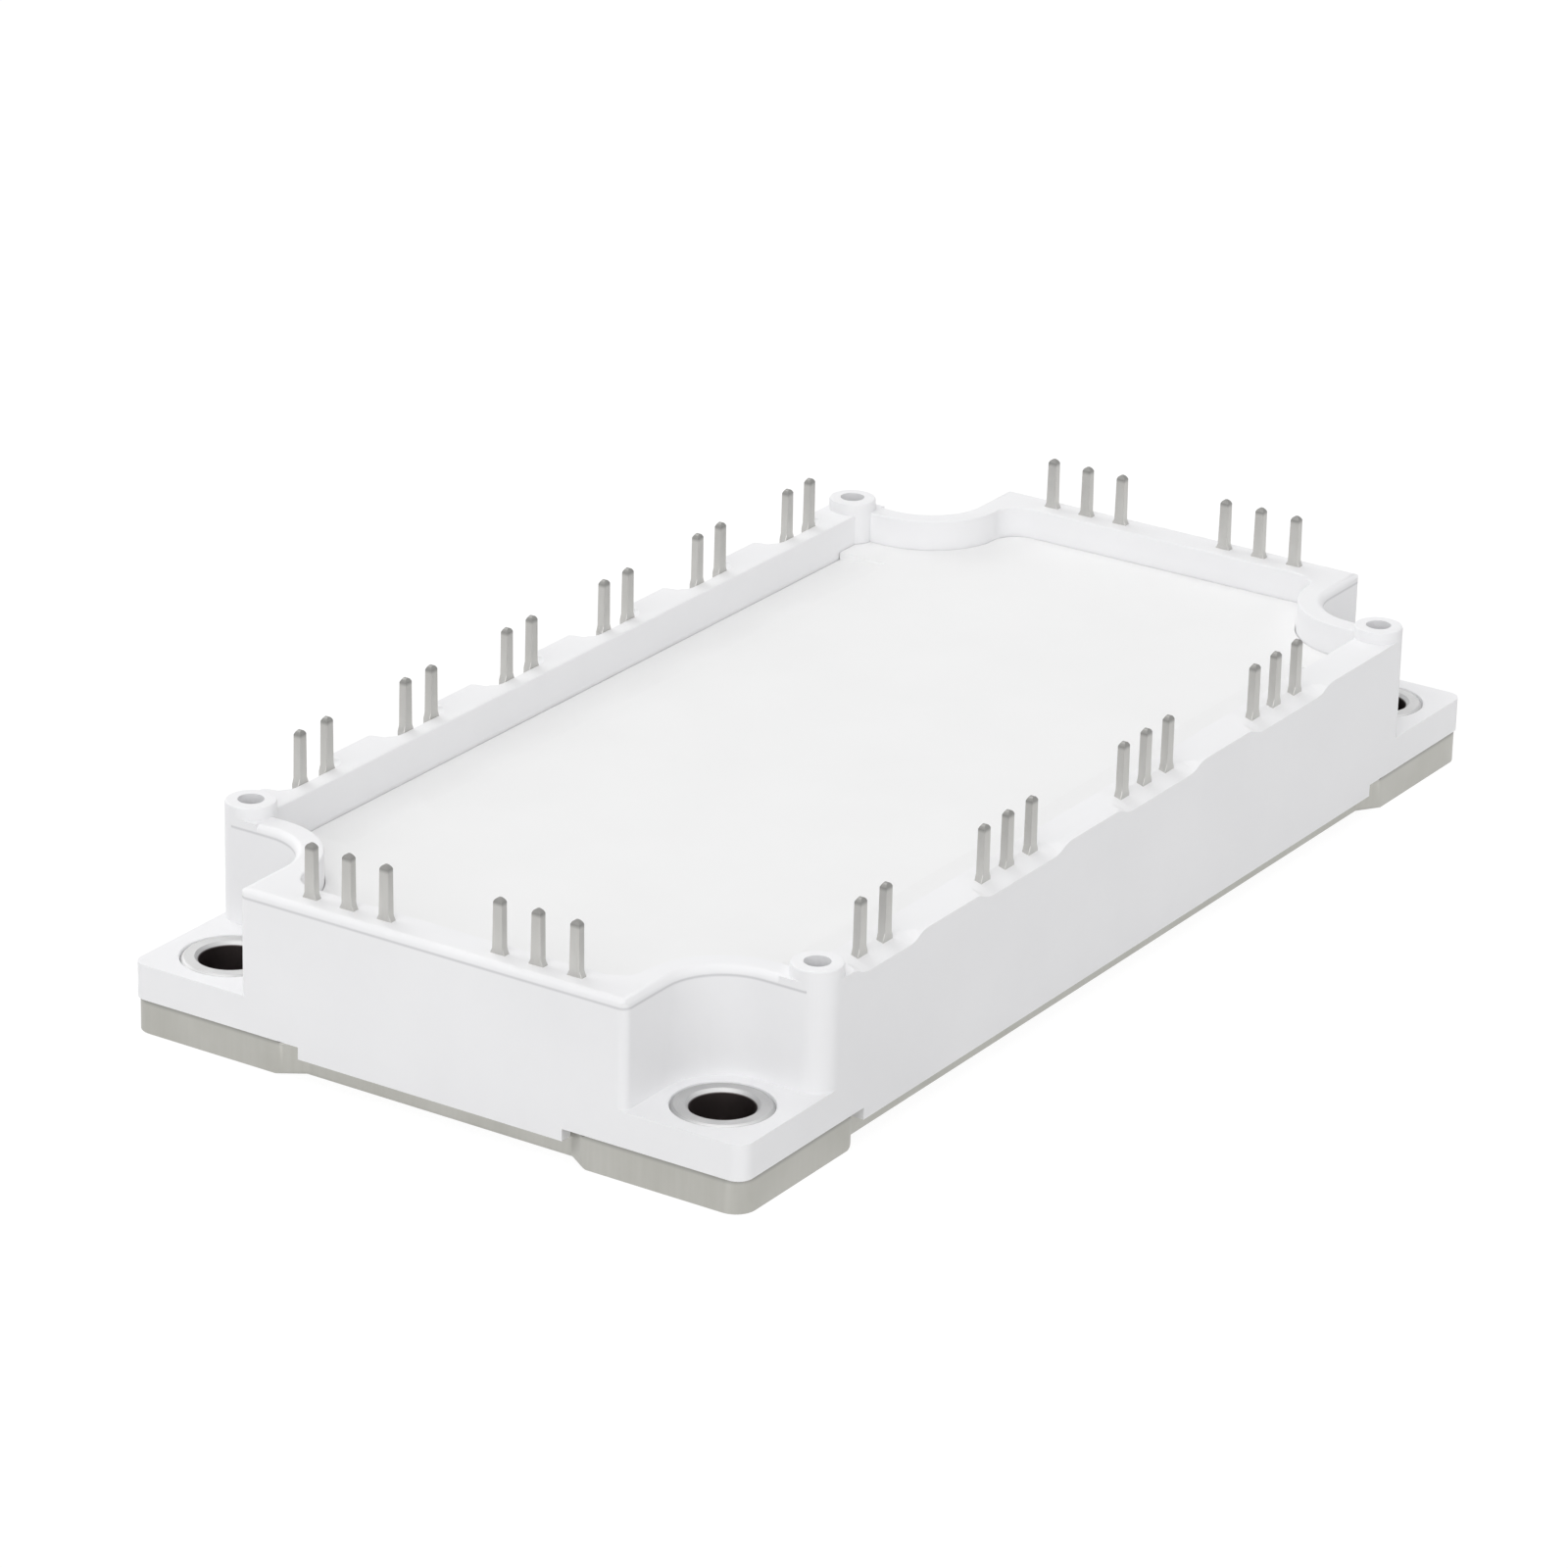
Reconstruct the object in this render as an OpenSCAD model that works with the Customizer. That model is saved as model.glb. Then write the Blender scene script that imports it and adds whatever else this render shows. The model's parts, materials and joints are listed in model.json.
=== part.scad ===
// Power transistor module: a flat metal base plate, a moulded frame with solder pins along
// all four sides, an inner lid, and the six-switch circuit sealed beneath it.
// Origin: centre of the underside. X runs along the length, Y across the width, Z is up.

/* [Base plate] */
// Overall length of the plate and the housing
plate_l = 122; // [120:1:140]
// Overall width of the plate and the housing
plate_w = 62; // [60:1:80]
// Thickness of the plate
plate_t = 3; // [2.5:0.1:5]
// Radius of the four plate corners
corner_r = 1.9; // [1:0.1:4]
// How far the plate is set in between its corner ears
edge_inset = 1.3; // [0.5:0.1:2]
// Length of each corner ear along the long edges
ear_long = 16; // [14:0.1:20]
// Length of each corner ear along the short edges
ear_short = 15.7; // [14:0.1:20]
// Length of the slanted end of each ear
ear_slant = 1.9; // [0.5:0.1:3]

/* [Mounting holes] */
// Distance from the outer edges to the centre of each mounting hole
hole_edge = 6; // [5.5:0.1:7]
// Diameter of the mounting holes
hole_d = 5.5; // [4:0.1:6]
// Outer diameter of the metal bushes round the mounting holes
bush_d = 8.7; // [7.5:0.1:10]
// Chamfer on the top edges of the bushes
bush_chamfer = 0.35; // [0.1:0.05:0.6]

/* [Frame] */
// Height of the rim above the underside
rim_h = 15.9; // [14.5:0.1:20]
// Height of the corner pads above the underside
pad_h = 6.2; // [5:0.1:8]
// Radius of the outer corners of the pads
pad_corner_r = 1.4; // [0.3:0.1:2.4]
// Width of the flat rim
rim_w = 3.7; // [3.2:0.1:5]
// Width of the wall that follows each corner recess
recess_wall = 2.4; // [1.5:0.1:3]
// Radius of the corner recesses round the mounting holes
recess_r = 5.5; // [5:0.1:6]
// Radius where the short walls end at a recess
wall_end_r = 0.8; // [0.5:0.1:3]
// Radius of the outer top edge along the short walls and the recesses
edge_round = 0.7; // [0.2:0.05:1]
// Radius of the corners inside the rim
inner_r = 2.6; // [1:0.1:4]
// Height of the lower edge of the skirt over the set-in plate edges
skirt_z = 1.9; // [0.3:0.1:2.4]

/* [Screw posts] */
// Height of the circuit board screw posts above the underside
post_h = 17; // [16.5:0.1:22]
// Diameter of the screw posts
post_d = 4.5; // [4:0.1:6]
// Diameter of the screw holes in the posts
post_hole_d = 2.3; // [1.8:0.1:2.8]
// Depth of the screw holes
post_hole_depth = 9; // [5:0.5:10]

/* [Rim scoops] */
// Width of the sloped scoops that lower the rim edge at the pins of the long sides
scoop_run = 2.2; // [1.5:0.1:3]
// Drop of the rim edge at the gate pins
gate_scoop = 1.75; // [0.2:0.05:2]
// Drop of the rim edge at the supply and sensor pins
supply_scoop = 0.7; // [0.2:0.05:2]
// Length of the level floor of a scoop beyond its outermost pins
scoop_margin = 1; // [0.8:0.1:2]
// Length of the curved rise at each end of a scoop
scoop_rise = 3.2; // [2:0.1:4]
// Radius of the arcs of a rise, as a multiple of the radius at which the two arcs only touch
scoop_bend = 1.04; // [1.02:0.01:1.1]

/* [Lid] */
// Height of the flat top of the lid
lid_top = 13; // [12.5:0.1:14]
// Thickness of the lid
lid_t = 1.8; // [1.2:0.1:2.5]
// Clearance between the lid and the frame
lid_gap = 0.15; // [0.05:0.05:0.3]
// Width of the sloped borders along the long sides of the lid
lid_slope_w = 5.4; // [3:0.1:8]
// Drop of the sloped borders
lid_slope_drop = 0.75; // [0.2:0.05:1]
// Width of the ledge that carries the lid
ledge_w = 1.8; // [1:0.1:2.5]

/* [Pins] */
// Spacing of the pin grid
pitch = 3.81; // [3.6:0.01:3.9]
// Height of the pin tips above the underside
tip_h = 20.8; // [19:0.1:26]
// Width of a pin along the wall, above its shoulder
pin_w = 1; // [0.6:0.05:1.2]
// Width of a pin at its round tip
pin_tip_w = 0.88; // [0.5:0.02:1.2]
// Thickness of a pin across the wall
pin_t = 0.7; // [0.5:0.05:1]
// Width of a pin inside the wall and at its shoulder
shoulder_w = 1.5; // [1.2:0.05:1.8]
// Height of the tapered shoulder above the rim
shoulder_h = 0.5; // [0.3:0.1:1.5]
// Distance from the long outer faces to the pin row
inset_long = 1.79; // [1.5:0.01:2.5]
// Distance from the short outer faces to the pin row
inset_short = 1.945; // [1.5:0.005:2.5]
// Shift of the pin grid along the length
grid_shift = 0.245; // [-0.5:0.005:0.5]
// Height of the shelf that carries the bond feet inside the frame
shelf_z = 6; // [5.5:0.1:7]
// Width of the shelf
shelf_w = 2.6; // [2:0.1:3.5]
// Thickness of the bond feet
foot_t = 0.8; // [0.5:0.1:1]

/* [Circuit] */
// Number of ceramic substrates side by side
substrates = 3; // [2:1:3]
// Length of one substrate along X
sub_l = 30; // [26:0.5:30.5]
// Width of one substrate along Y
sub_w = 36; // [33:0.5:37]
// Space between two substrates
sub_space = 1.6; // [1:0.1:2]
// Thickness of the ceramic sheet
ceramic_t = 0.4; // [0.3:0.05:1]
// Thickness of the copper layers
copper_t = 0.3; // [0.2:0.05:0.5]
// Bare border of ceramic round the copper
copper_edge = 1; // [0.5:0.1:1.5]
// Gap between two copper fields
copper_gap = 0.8; // [0.5:0.1:1]
// Width of the supply strip along the front of a substrate
strip_w = 8.7; // [6:0.1:9]
// Width of the gate fields along the back of a substrate
gate_field_w = 2.2; // [1.5:0.1:2.5]
// Side of a transistor chip
switch_side = 9; // [7:0.1:9.2]
// Side of a diode chip
diode_side = 6; // [4:0.1:6.5]
// Thickness of the chips
chip_t = 0.25; // [0.1:0.05:0.4]
// Distance from a transistor chip to the edge of its copper field
chip_border = 0.9; // [0.5:0.1:1]
// Space between a transistor chip and its diode
chip_space = 1.8; // [1:0.1:2]
// Width and thickness of a bond wire
wire_t = 0.4; // [0.2:0.05:0.5]
// Length of a wire's bonded foot
wire_foot = 1; // [0.6:0.1:1.5]
// Rise of the supply wires over the chips
wire_rise = 1.6; // [0.8:0.1:2.5]
// Rise of the control wires beside the transistors
control_rise = 0.9; // [0.4:0.1:1.5]
// Number of supply wires on each chip
wires = 4; // [2:1:4]
// Length of the temperature sensor
sensor_l = 3.2; // [2:0.1:4]
// Width of the temperature sensor
sensor_w = 1.6; // [0.8:0.1:2]
// Height of the temperature sensor
sensor_t = 0.9; // [0.4:0.1:1.5]
// Height of the top of the soft sealing gel
gel_top = 9.4; // [8.5:0.1:9.8]

/* [Hidden] */
$fn = 64;
half_l = plate_l / 2;
half_w = plate_w / 2;
over = 1;                                // reach of a cutter beyond what it cuts
hole_x = half_l - hole_edge;
hole_y = half_w - hole_edge;
post_r = post_d / 2;
post_x = hole_x - recess_r - post_r;     // the post column meets the recess wall
post_y = half_w - post_r;                // and stands flush with the long face
ledge_z = lid_top - lid_t;
mid_side = rim_w + ledge_w;              // wall thickness between the shelf and the ledge
low_side = mid_side + shelf_w;           // wall thickness below the shelf
mid_wall = recess_wall + 1;              // recess wall thickness below the ledge
post_wall = 1;                           // plastic round the post inside the cavity
foot_back = 0.4;                         // setback of the bond feet from the shelf edge
tip_chamfer = 0.18;
circuit_z = plate_t + copper_t + ceramic_t;
chip_z = circuit_z + copper_t;
copper_l = sub_l - 2 * copper_edge;
copper_w = sub_w - 2 * copper_edge;
field_l = (copper_l - copper_gap) / 2;   // length of a chip field, two beside each other
field_w = copper_w - strip_w - gate_field_w - 2 * copper_gap;
chip_x = (copper_gap + field_l) / 2;
switch_y = copper_w / 2 - gate_field_w - copper_gap - chip_border - switch_side / 2;
diode_y = switch_y - switch_side / 2 - chip_space - diode_side / 2;
wire_pitch = diode_side / (wires + 1);    // the supply wires share the width of a diode
strip_bond_y = strip_w - copper_w / 2 - wire_foot;
gate_bond_y = (copper_w - gate_field_w) / 2;
switch_bond_y = switch_y + switch_side / 2 - wire_foot;
sensor_x = -sub_l / 8;                   // centre of the sensor on its substrate
sensor_field_l = sensor_l * 0.7;         // the sensor bridges the gap between its two fields
sensor_field_w = 2 * sensor_w;
sensor_space = sensor_l * 0.4;
sensor_y = (sensor_field_w - copper_w) / 2;

// Each pin group is [place of its first pin in grid steps from the centre, number of pins]
GATE_GROUPS = [for (i = [0 : 5]) [4 * i - 10.5, 2]];
SENSOR_GROUPS = [[-11, 2]];
SUPPLY_GROUPS = [[-6, 3], [0, 3], [6, 3]];
OUTPUT_GROUPS = [[-3.5, 3], [1.5, 3]];

function steps(groups) = [for (g = groups) for (i = [0 : g[1] - 1]) g[0] + i];

GATES = steps(GATE_GROUPS);
SENSORS = steps(SENSOR_GROUPS);
SUPPLIES = steps(SUPPLY_GROUPS);
OUTPUTS = steps(OUTPUT_GROUPS);
BUSHES = [["bush_front_left", -1, -1], ["bush_front_right", 1, -1],
          ["bush_back_left", -1, 1], ["bush_back_right", 1, 1]];
function numbered(name, count) = [for (i = [1 : count]) str(name, i)];

// ---- placing ----

module at_corners() {
    for (mx = [0, 1], my = [0, 1]) mirror([mx, 0, 0]) mirror([0, my, 0]) children();
}

// Wall frames: X along the wall, Y = 0 on the outer face and growing outwards
module far_wall() { translate([grid_shift, half_w, 0]) children(); }
module near_wall() { mirror([0, 1, 0]) far_wall() children(); }
module right_wall() { rotate(-90) translate([0, half_l, 0]) children(); }
module left_wall() { mirror([1, 0, 0]) right_wall() children(); }

// ---- plan shapes ----

// The piece between a right-angled corner at the origin and an arc of radius r
module corner_piece(r) {
    difference() {
        square(r);
        translate([r, r]) circle(r);
    }
}

module rounded_rectangle(l, w, r) {
    difference() {
        square([l, w], center = true);
        at_corners() translate([l / 2, w / 2]) rotate(180) corner_piece(r);
    }
}

// Strip along a set-in plate edge, in a wall frame: slant is how far its ends widen outwards
module edge_strip(plate_length, ear, slant) {
    inner = plate_length / 2 - ear - ear_slant;
    outer = inner + slant * (1 + over / edge_inset);
    polygon([[-outer, over], [outer, over], [inner, -edge_inset], [-inner, -edge_inset]]);
}

module edge_strips(slant) {
    for (my = [0, 1]) mirror([0, my, 0]) translate([0, half_w]) edge_strip(plate_l, ear_long, slant);
    for (mx = [0, 1]) mirror([mx, 0, 0]) rotate(-90) translate([0, half_l])
        edge_strip(plate_w, ear_short, slant);
}

// Quarter of the plan round a mounting hole that lies within r of the recess line
module recess_zone(r) {
    reach = recess_r + hole_edge + over;
    translate([hole_x, hole_y]) circle(r);
    translate([hole_x - r, hole_y]) square([reach + r, reach]);
    translate([hole_x, hole_y - r]) square([reach, reach + r]);
}

module wall_plan() {
    difference() {
        square([plate_l, plate_w], center = true);
        at_corners() {
            recess_zone(recess_r);
            translate([half_l, hole_y - recess_r]) rotate(180) corner_piece(wall_end_r);
            translate([hole_x - recess_r, half_w]) rotate(180) corner_piece(post_r);
        }
    }
}

// Hollow of the frame: side is the wall thickness, wall the one along the recesses
module hollow_plan(side, wall, post_extra, gap = 0) {
    difference() {
        square([plate_l - 2 * side - 2 * gap, plate_w - 2 * side - 2 * gap], center = true);
        at_corners() {
            recess_zone(recess_r + wall + gap);
            translate([post_x, post_y]) circle(post_r + post_extra + gap);
            translate([half_l - side - gap, hole_y - recess_r - wall - gap]) rotate(180)
                corner_piece(inner_r);
        }
    }
}

module tray_plan(gap = 0) { hollow_plan(rim_w, recess_wall, 0, gap); }
module mid_plan() { hollow_plan(mid_side, mid_wall, post_wall); }
module low_plan() { hollow_plan(low_side, mid_wall, post_wall); }

// ---- base plate and bushes ----

module base_plate() {
    color("#b4b0ab") difference() {
        linear_extrude(plate_t) difference() {
            rounded_rectangle(plate_l, plate_w, corner_r);
            edge_strips(ear_slant);
        }
        at_corners() translate([hole_x, hole_y, -over]) cylinder(d = hole_d, h = plate_t + 2 * over);
    }
}

module bush(sx, sy) {
    inner = hole_d / 2;
    outer = bush_d / 2;
    color("#c3c1be") translate([sx * hole_x, sy * hole_y, plate_t]) rotate_extrude()
        polygon([[inner, 0], [outer, 0], [outer, pad_h - plate_t - bush_chamfer],
                 [outer - bush_chamfer, pad_h - plate_t], [inner + bush_chamfer, pad_h - plate_t],
                 [inner, pad_h - plate_t - bush_chamfer]]);
}

// ---- frame ----

// Section of a scoop along its wall: a level floor and S-shaped rises of two arcs that cross
module scoop_section(half_run, drop) {
    r = scoop_bend * (pow(scoop_rise, 2) + pow(drop, 2)) / (4 * drop);
    reach = half_run + scoop_rise;
    difference() {
        union() {
            polygon([[-reach, drop + over], [reach, drop + over], [reach, drop], [half_run, 0],
                     [-half_run, 0], [-reach, drop]]);
            for (s = [-1, 1]) translate([s * half_run, r]) circle(r);
        }
        for (s = [-1, 1]) translate([s * reach, drop - r]) circle(r);
    }
}

// Cutter for one scoop, in a wall frame centred on its pin group
module scoop(half_run, drop) {
    slope = atan(drop / scoop_run);
    translate([0, -scoop_run, rim_h]) rotate([-slope, 0, 0]) rotate([90, 0, 180])
        linear_extrude(norm([scoop_run, drop]) + over) scoop_section(half_run, drop);
}

module scoops(groups, drop) {
    for (g = groups) translate([pitch * (g[0] + (g[1] - 1) / 2), 0, 0])
        scoop(pitch * (g[1] - 1) / 2 + scoop_margin, drop);
}

// Section of the cutter that rounds a top edge: the edge lies at the origin, its wall at X > 0
module edge_section() {
    difference() {
        translate([-over, -edge_round]) square([over + edge_round, over + edge_round]);
        translate([edge_round, -edge_round]) circle(edge_round);
    }
}

// Cutter that rounds a straight top edge along X from the origin, for a wall on the side Y > 0
module edge_cutter(length) {
    rotate([90, 0, 90]) linear_extrude(length) edge_section();
}

// Cutter that rounds the outer top edge at one corner: short wall, recess line and recess arc
module edge_cutters() {
    translate([half_l, 0, rim_h]) rotate(90) edge_cutter(hole_y - recess_r + over);
    translate([hole_x, hole_y - recess_r, rim_h]) mirror([0, 1, 0]) edge_cutter(hole_edge + over);
    translate([hole_x - recess_r, hole_y, rim_h]) rotate(90) edge_cutter(post_y - post_r - hole_y);
    translate([hole_x, hole_y, rim_h]) rotate(180) rotate_extrude(angle = 90)
        translate([recess_r, 0]) edge_section();
}

module frame_shell() {
    difference() {
        union() {
            translate([0, 0, plate_t]) linear_extrude(pad_h - plate_t)
                rounded_rectangle(plate_l, plate_w, pad_corner_r);
            translate([0, 0, plate_t]) linear_extrude(rim_h - plate_t) wall_plan();
            translate([0, 0, skirt_z]) linear_extrude(plate_t - skirt_z) intersection() {
                rounded_rectangle(plate_l, plate_w, corner_r);
                edge_strips(0);
            }
        }
        translate([0, 0, plate_t - over]) linear_extrude(rim_h) low_plan();
        translate([0, 0, shelf_z]) linear_extrude(rim_h) mid_plan();
        translate([0, 0, ledge_z]) linear_extrude(rim_h) tray_plan();
        at_corners() translate([hole_x, hole_y, 0]) cylinder(d = bush_d, h = pad_h + over);
        far_wall() scoops(GATE_GROUPS, gate_scoop);
        near_wall() scoops(concat(SENSOR_GROUPS, SUPPLY_GROUPS), supply_scoop);
        at_corners() edge_cutters();
    }
}

module frame() {
    color("#dddce0") difference() {
        union() {
            frame_shell();
            at_corners() translate([post_x, post_y, ledge_z]) cylinder(d = post_d, h = post_h - ledge_z);
        }
        at_corners() translate([post_x, post_y, post_h - post_hole_depth])
            cylinder(d = post_hole_d, h = post_hole_depth + over);
        all_pins();
    }
}

// ---- lid ----

module lid() {
    slope_l = 2 * (post_x - post_d);
    edge = half_w - rim_w - lid_gap;
    edge_drop = lid_slope_drop * (1 + over / lid_slope_w);
    color("#eeeeee") difference() {
        translate([0, 0, ledge_z]) linear_extrude(lid_t) tray_plan(lid_gap);
        for (my = [0, 1]) mirror([0, my, 0]) translate([-slope_l / 2, edge, lid_top])
            rotate([90, 0, 90]) linear_extrude(slope_l)
                polygon([[-lid_slope_w, 0], [over, over], [over, -edge_drop]]);
    }
}

// ---- pins ----

// Front view of a pin: shoulder, slightly tapered stem and round tip, feet level at the shelf
module pin_front() {
    tip_z = tip_h - pin_tip_w / 2;
    polygon([[-shoulder_w / 2, shelf_z], [shoulder_w / 2, shelf_z], [shoulder_w / 2, rim_h],
             [pin_w / 2, rim_h + shoulder_h], [pin_tip_w / 2, tip_z], [-pin_tip_w / 2, tip_z],
             [-pin_w / 2, rim_h + shoulder_h], [-shoulder_w / 2, rim_h]]);
    translate([0, tip_z]) circle(d = pin_tip_w);
}

// Side view of a pin: bond foot on the shelf, upright stem and chamfered tip
module pin_side(inset) {
    front = pin_t / 2 - inset;
    back = -pin_t / 2 - inset;
    foot_end = foot_back - low_side;
    polygon([[foot_end, shelf_z], [front, shelf_z], [front, tip_h - 2 * tip_chamfer],
             [front - tip_chamfer, tip_h], [back + tip_chamfer, tip_h], [back, tip_h - 2 * tip_chamfer],
             [back, shelf_z + foot_t], [foot_end, shelf_z + foot_t]]);
}

module pin(step, inset) {
    color("#a3a09c") translate([pitch * step, 0, 0]) intersection() {
        rotate([90, 0, 0]) translate([0, 0, -over]) linear_extrude(low_side + 2 * over) pin_front();
        rotate([90, 0, 90]) translate([0, 0, -shoulder_w / 2]) linear_extrude(shoulder_w) pin_side(inset);
    }
}

module gate_pin(i) { far_wall() pin(GATES[i], inset_long); }
module sensor_pin(i) { near_wall() pin(SENSORS[i], inset_long); }
module supply_pin(i) { near_wall() pin(SUPPLIES[i], inset_long); }
module output_pin(i) {
    count = len(OUTPUTS);
    if (i < count) left_wall() pin(OUTPUTS[i], inset_short);
    else right_wall() pin(OUTPUTS[i - count], inset_short);
}

module all_pins() {
    for (i = [0 : len(GATES) - 1]) gate_pin(i);
    for (i = [0 : len(SENSORS) - 1]) sensor_pin(i);
    for (i = [0 : len(SUPPLIES) - 1]) supply_pin(i);
    for (i = [0 : 2 * len(OUTPUTS) - 1]) output_pin(i);
}

// ---- circuit ----

module at_substrate(i, z) {
    translate([(i - (substrates - 1) / 2) * (sub_l + sub_space), 0, z]) children();
}

module copper_base(i) {
    color("#c47a4a") at_substrate(i, plate_t) linear_extrude(copper_t)
        square([copper_l, copper_w], center = true);
}

module ceramic(i) {
    color("#f4f4f0") at_substrate(i, plate_t + copper_t) linear_extrude(ceramic_t)
        square([sub_l, sub_w], center = true);
}

// Chip field with its two gate fields, right of the centre line
module chip_field_plan() {
    gate_l = (field_l - copper_gap) / 2;
    translate([copper_gap / 2, -copper_w / 2 + strip_w + copper_gap]) square([field_l, field_w]);
    for (x = [copper_gap / 2, copper_gap * 1.5 + gate_l])
        translate([x, copper_w / 2 - gate_field_w]) square([gate_l, gate_field_w]);
}

// Supply strip along the front, cut out round the two sensor fields
module strip_plan() {
    notch_l = 2 * sensor_field_l + sensor_space + 2 * copper_gap;
    difference() {
        translate([-copper_l / 2, -copper_w / 2]) square([copper_l, strip_w]);
        translate([sensor_x - notch_l / 2, -copper_w / 2 - over])
            square([notch_l, sensor_field_w + copper_gap + over]);
    }
    for (s = [-1, 1]) translate([sensor_x + s * (sensor_space + sensor_field_l) / 2, sensor_y])
        square([sensor_field_l, sensor_field_w], center = true);
}

module copper_circuit(i) {
    color("#c9824f") at_substrate(i, circuit_z) linear_extrude(copper_t) {
        for (mx = [0, 1]) mirror([mx, 0]) chip_field_plan();
        strip_plan();
    }
}

module chips(i, side, y) {
    at_substrate(i, chip_z) linear_extrude(chip_t) for (s = [-1, 1])
        translate([s * chip_x, y]) square(side, center = true);
}

module transistor_chips(i) { color("#8d8f96") chips(i, switch_side, switch_y); }
module diode_chips(i) { color("#9a9ca2") chips(i, diode_side, diode_y); }

// Side view of a bond wire between two chips at the same height, with its flat feet
module wire_arch(span, rise) {
    r = (pow(span / 2, 2) + pow(rise, 2)) / (2 * rise);
    intersection() {
        translate([-wire_foot / 2, 0]) square([span + wire_foot, rise + wire_t]);
        translate([span / 2, rise - r]) difference() {
            circle(r + wire_t);
            circle(r);
        }
    }
    for (y = [0, span]) translate([y - wire_foot / 2, 0]) square([wire_foot, wire_t]);
}

// Foot that reaches from a chip's height down to the copper beside it
module copper_foot() {
    translate([-wire_foot / 2, -chip_t]) square([wire_foot, chip_t + wire_t]);
}

// Places a wire's side view at x from the middle of a substrate
module at_wire(i, x) {
    at_substrate(i, chip_z + chip_t) translate([x - wire_t / 2, 0]) rotate([90, 0, 90])
        linear_extrude(wire_t) children();
}

// Wires from the transistors over the diodes to the supply strip
module supply_wires(i) {
    for (s = [-1, 1], k = [0 : wires - 1])
        at_wire(i, s * chip_x + (k - (wires - 1) / 2) * wire_pitch) {
            translate([diode_y, 0]) wire_arch(switch_y - diode_y, wire_rise);
            translate([strip_bond_y, 0]) wire_arch(diode_y - strip_bond_y, wire_rise);
            translate([strip_bond_y, 0]) copper_foot();
        }
}

// Wires from each transistor to its two gate fields
module control_wires(i) {
    for (s = [-1, 1], k = [-1, 1]) at_wire(i, s * chip_x + k * switch_side / 4) {
        translate([switch_bond_y, 0]) wire_arch(gate_bond_y - switch_bond_y, control_rise);
        translate([gate_bond_y, 0]) copper_foot();
    }
}

module bond_wires() {
    color("#c9cacd") for (i = [0 : substrates - 1]) {
        supply_wires(i);
        control_wires(i);
    }
}

module temperature_sensor() {
    color("#3a3a3c") at_substrate(0, chip_z) translate([sensor_x, sensor_y]) linear_extrude(sensor_t)
        square([sensor_l, sensor_w], center = true);
}

module gel() {
    color("#dfe6ea") difference() {
        union() {
            translate([0, 0, plate_t]) linear_extrude(shelf_z - plate_t) low_plan();
            translate([0, 0, shelf_z]) linear_extrude(gel_top - shelf_z) mid_plan();
        }
        for (i = [0 : substrates - 1]) {
            at_substrate(i, plate_t) translate([-sub_l / 2, -sub_w / 2, -over])
                cube([sub_l, sub_w, over + copper_t + ceramic_t]);
            copper_circuit(i);
            transistor_chips(i);
            diode_chips(i);
        }
        bond_wires();
        temperature_sensor();
        all_pins();
    }
}

// ---- nodes ----

base_plate();
frame();
lid();
gel();
for (b = BUSHES) bush(b[1], b[2]);
for (i = [0 : len(GATES) - 1]) gate_pin(i);
for (i = [0 : len(SENSORS) - 1]) sensor_pin(i);
for (i = [0 : len(SUPPLIES) - 1]) supply_pin(i);
for (i = [0 : 2 * len(OUTPUTS) - 1]) output_pin(i);
for (i = [0 : substrates - 1]) copper_base(i);
for (i = [0 : substrates - 1]) ceramic(i);
for (i = [0 : substrates - 1])
    copper_circuit(i);
for (i = [0 : substrates - 1])
    transistor_chips(i);
for (i = [0 : substrates - 1]) diode_chips(i);
bond_wires();
temperature_sensor();
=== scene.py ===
# %% [markdown]
# # A power transistor module
#
# The module is a flat box that switches large motors. A metal base plate carries ceramic
# circuit boards, a white moulded frame stands on the plate and holds thirty-five solder pins,
# and an inner lid closes it. The construction comes packed, at its real size. This lesson
# gives it its looks: rounded edges, a finish for every surface, a camera and soft light.

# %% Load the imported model
import json
import math

import bmesh
import bpy
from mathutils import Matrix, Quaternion, Vector


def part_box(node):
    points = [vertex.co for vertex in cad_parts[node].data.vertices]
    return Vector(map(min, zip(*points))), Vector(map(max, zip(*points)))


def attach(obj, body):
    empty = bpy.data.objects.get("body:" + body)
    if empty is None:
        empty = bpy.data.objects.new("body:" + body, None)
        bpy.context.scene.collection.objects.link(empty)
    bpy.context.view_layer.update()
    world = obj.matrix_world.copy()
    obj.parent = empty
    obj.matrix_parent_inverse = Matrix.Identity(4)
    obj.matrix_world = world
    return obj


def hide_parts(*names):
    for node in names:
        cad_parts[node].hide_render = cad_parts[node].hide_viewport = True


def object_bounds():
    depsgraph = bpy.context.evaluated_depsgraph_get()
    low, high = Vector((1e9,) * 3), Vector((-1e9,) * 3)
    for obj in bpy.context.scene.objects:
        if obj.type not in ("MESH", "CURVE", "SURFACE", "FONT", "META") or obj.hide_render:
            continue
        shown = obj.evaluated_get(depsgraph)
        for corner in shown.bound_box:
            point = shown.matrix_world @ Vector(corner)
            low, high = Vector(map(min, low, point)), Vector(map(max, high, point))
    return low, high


MM = 0.001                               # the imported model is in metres

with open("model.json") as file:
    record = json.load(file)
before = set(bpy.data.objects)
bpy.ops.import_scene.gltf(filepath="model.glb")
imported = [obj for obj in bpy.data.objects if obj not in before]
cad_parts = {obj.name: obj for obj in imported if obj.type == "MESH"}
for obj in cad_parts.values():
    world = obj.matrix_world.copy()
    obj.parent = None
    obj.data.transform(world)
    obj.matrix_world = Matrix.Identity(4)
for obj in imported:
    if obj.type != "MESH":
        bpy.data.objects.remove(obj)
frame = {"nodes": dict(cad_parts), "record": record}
cad_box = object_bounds()
size = (cad_box[1] - cad_box[0]) / MM
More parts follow.
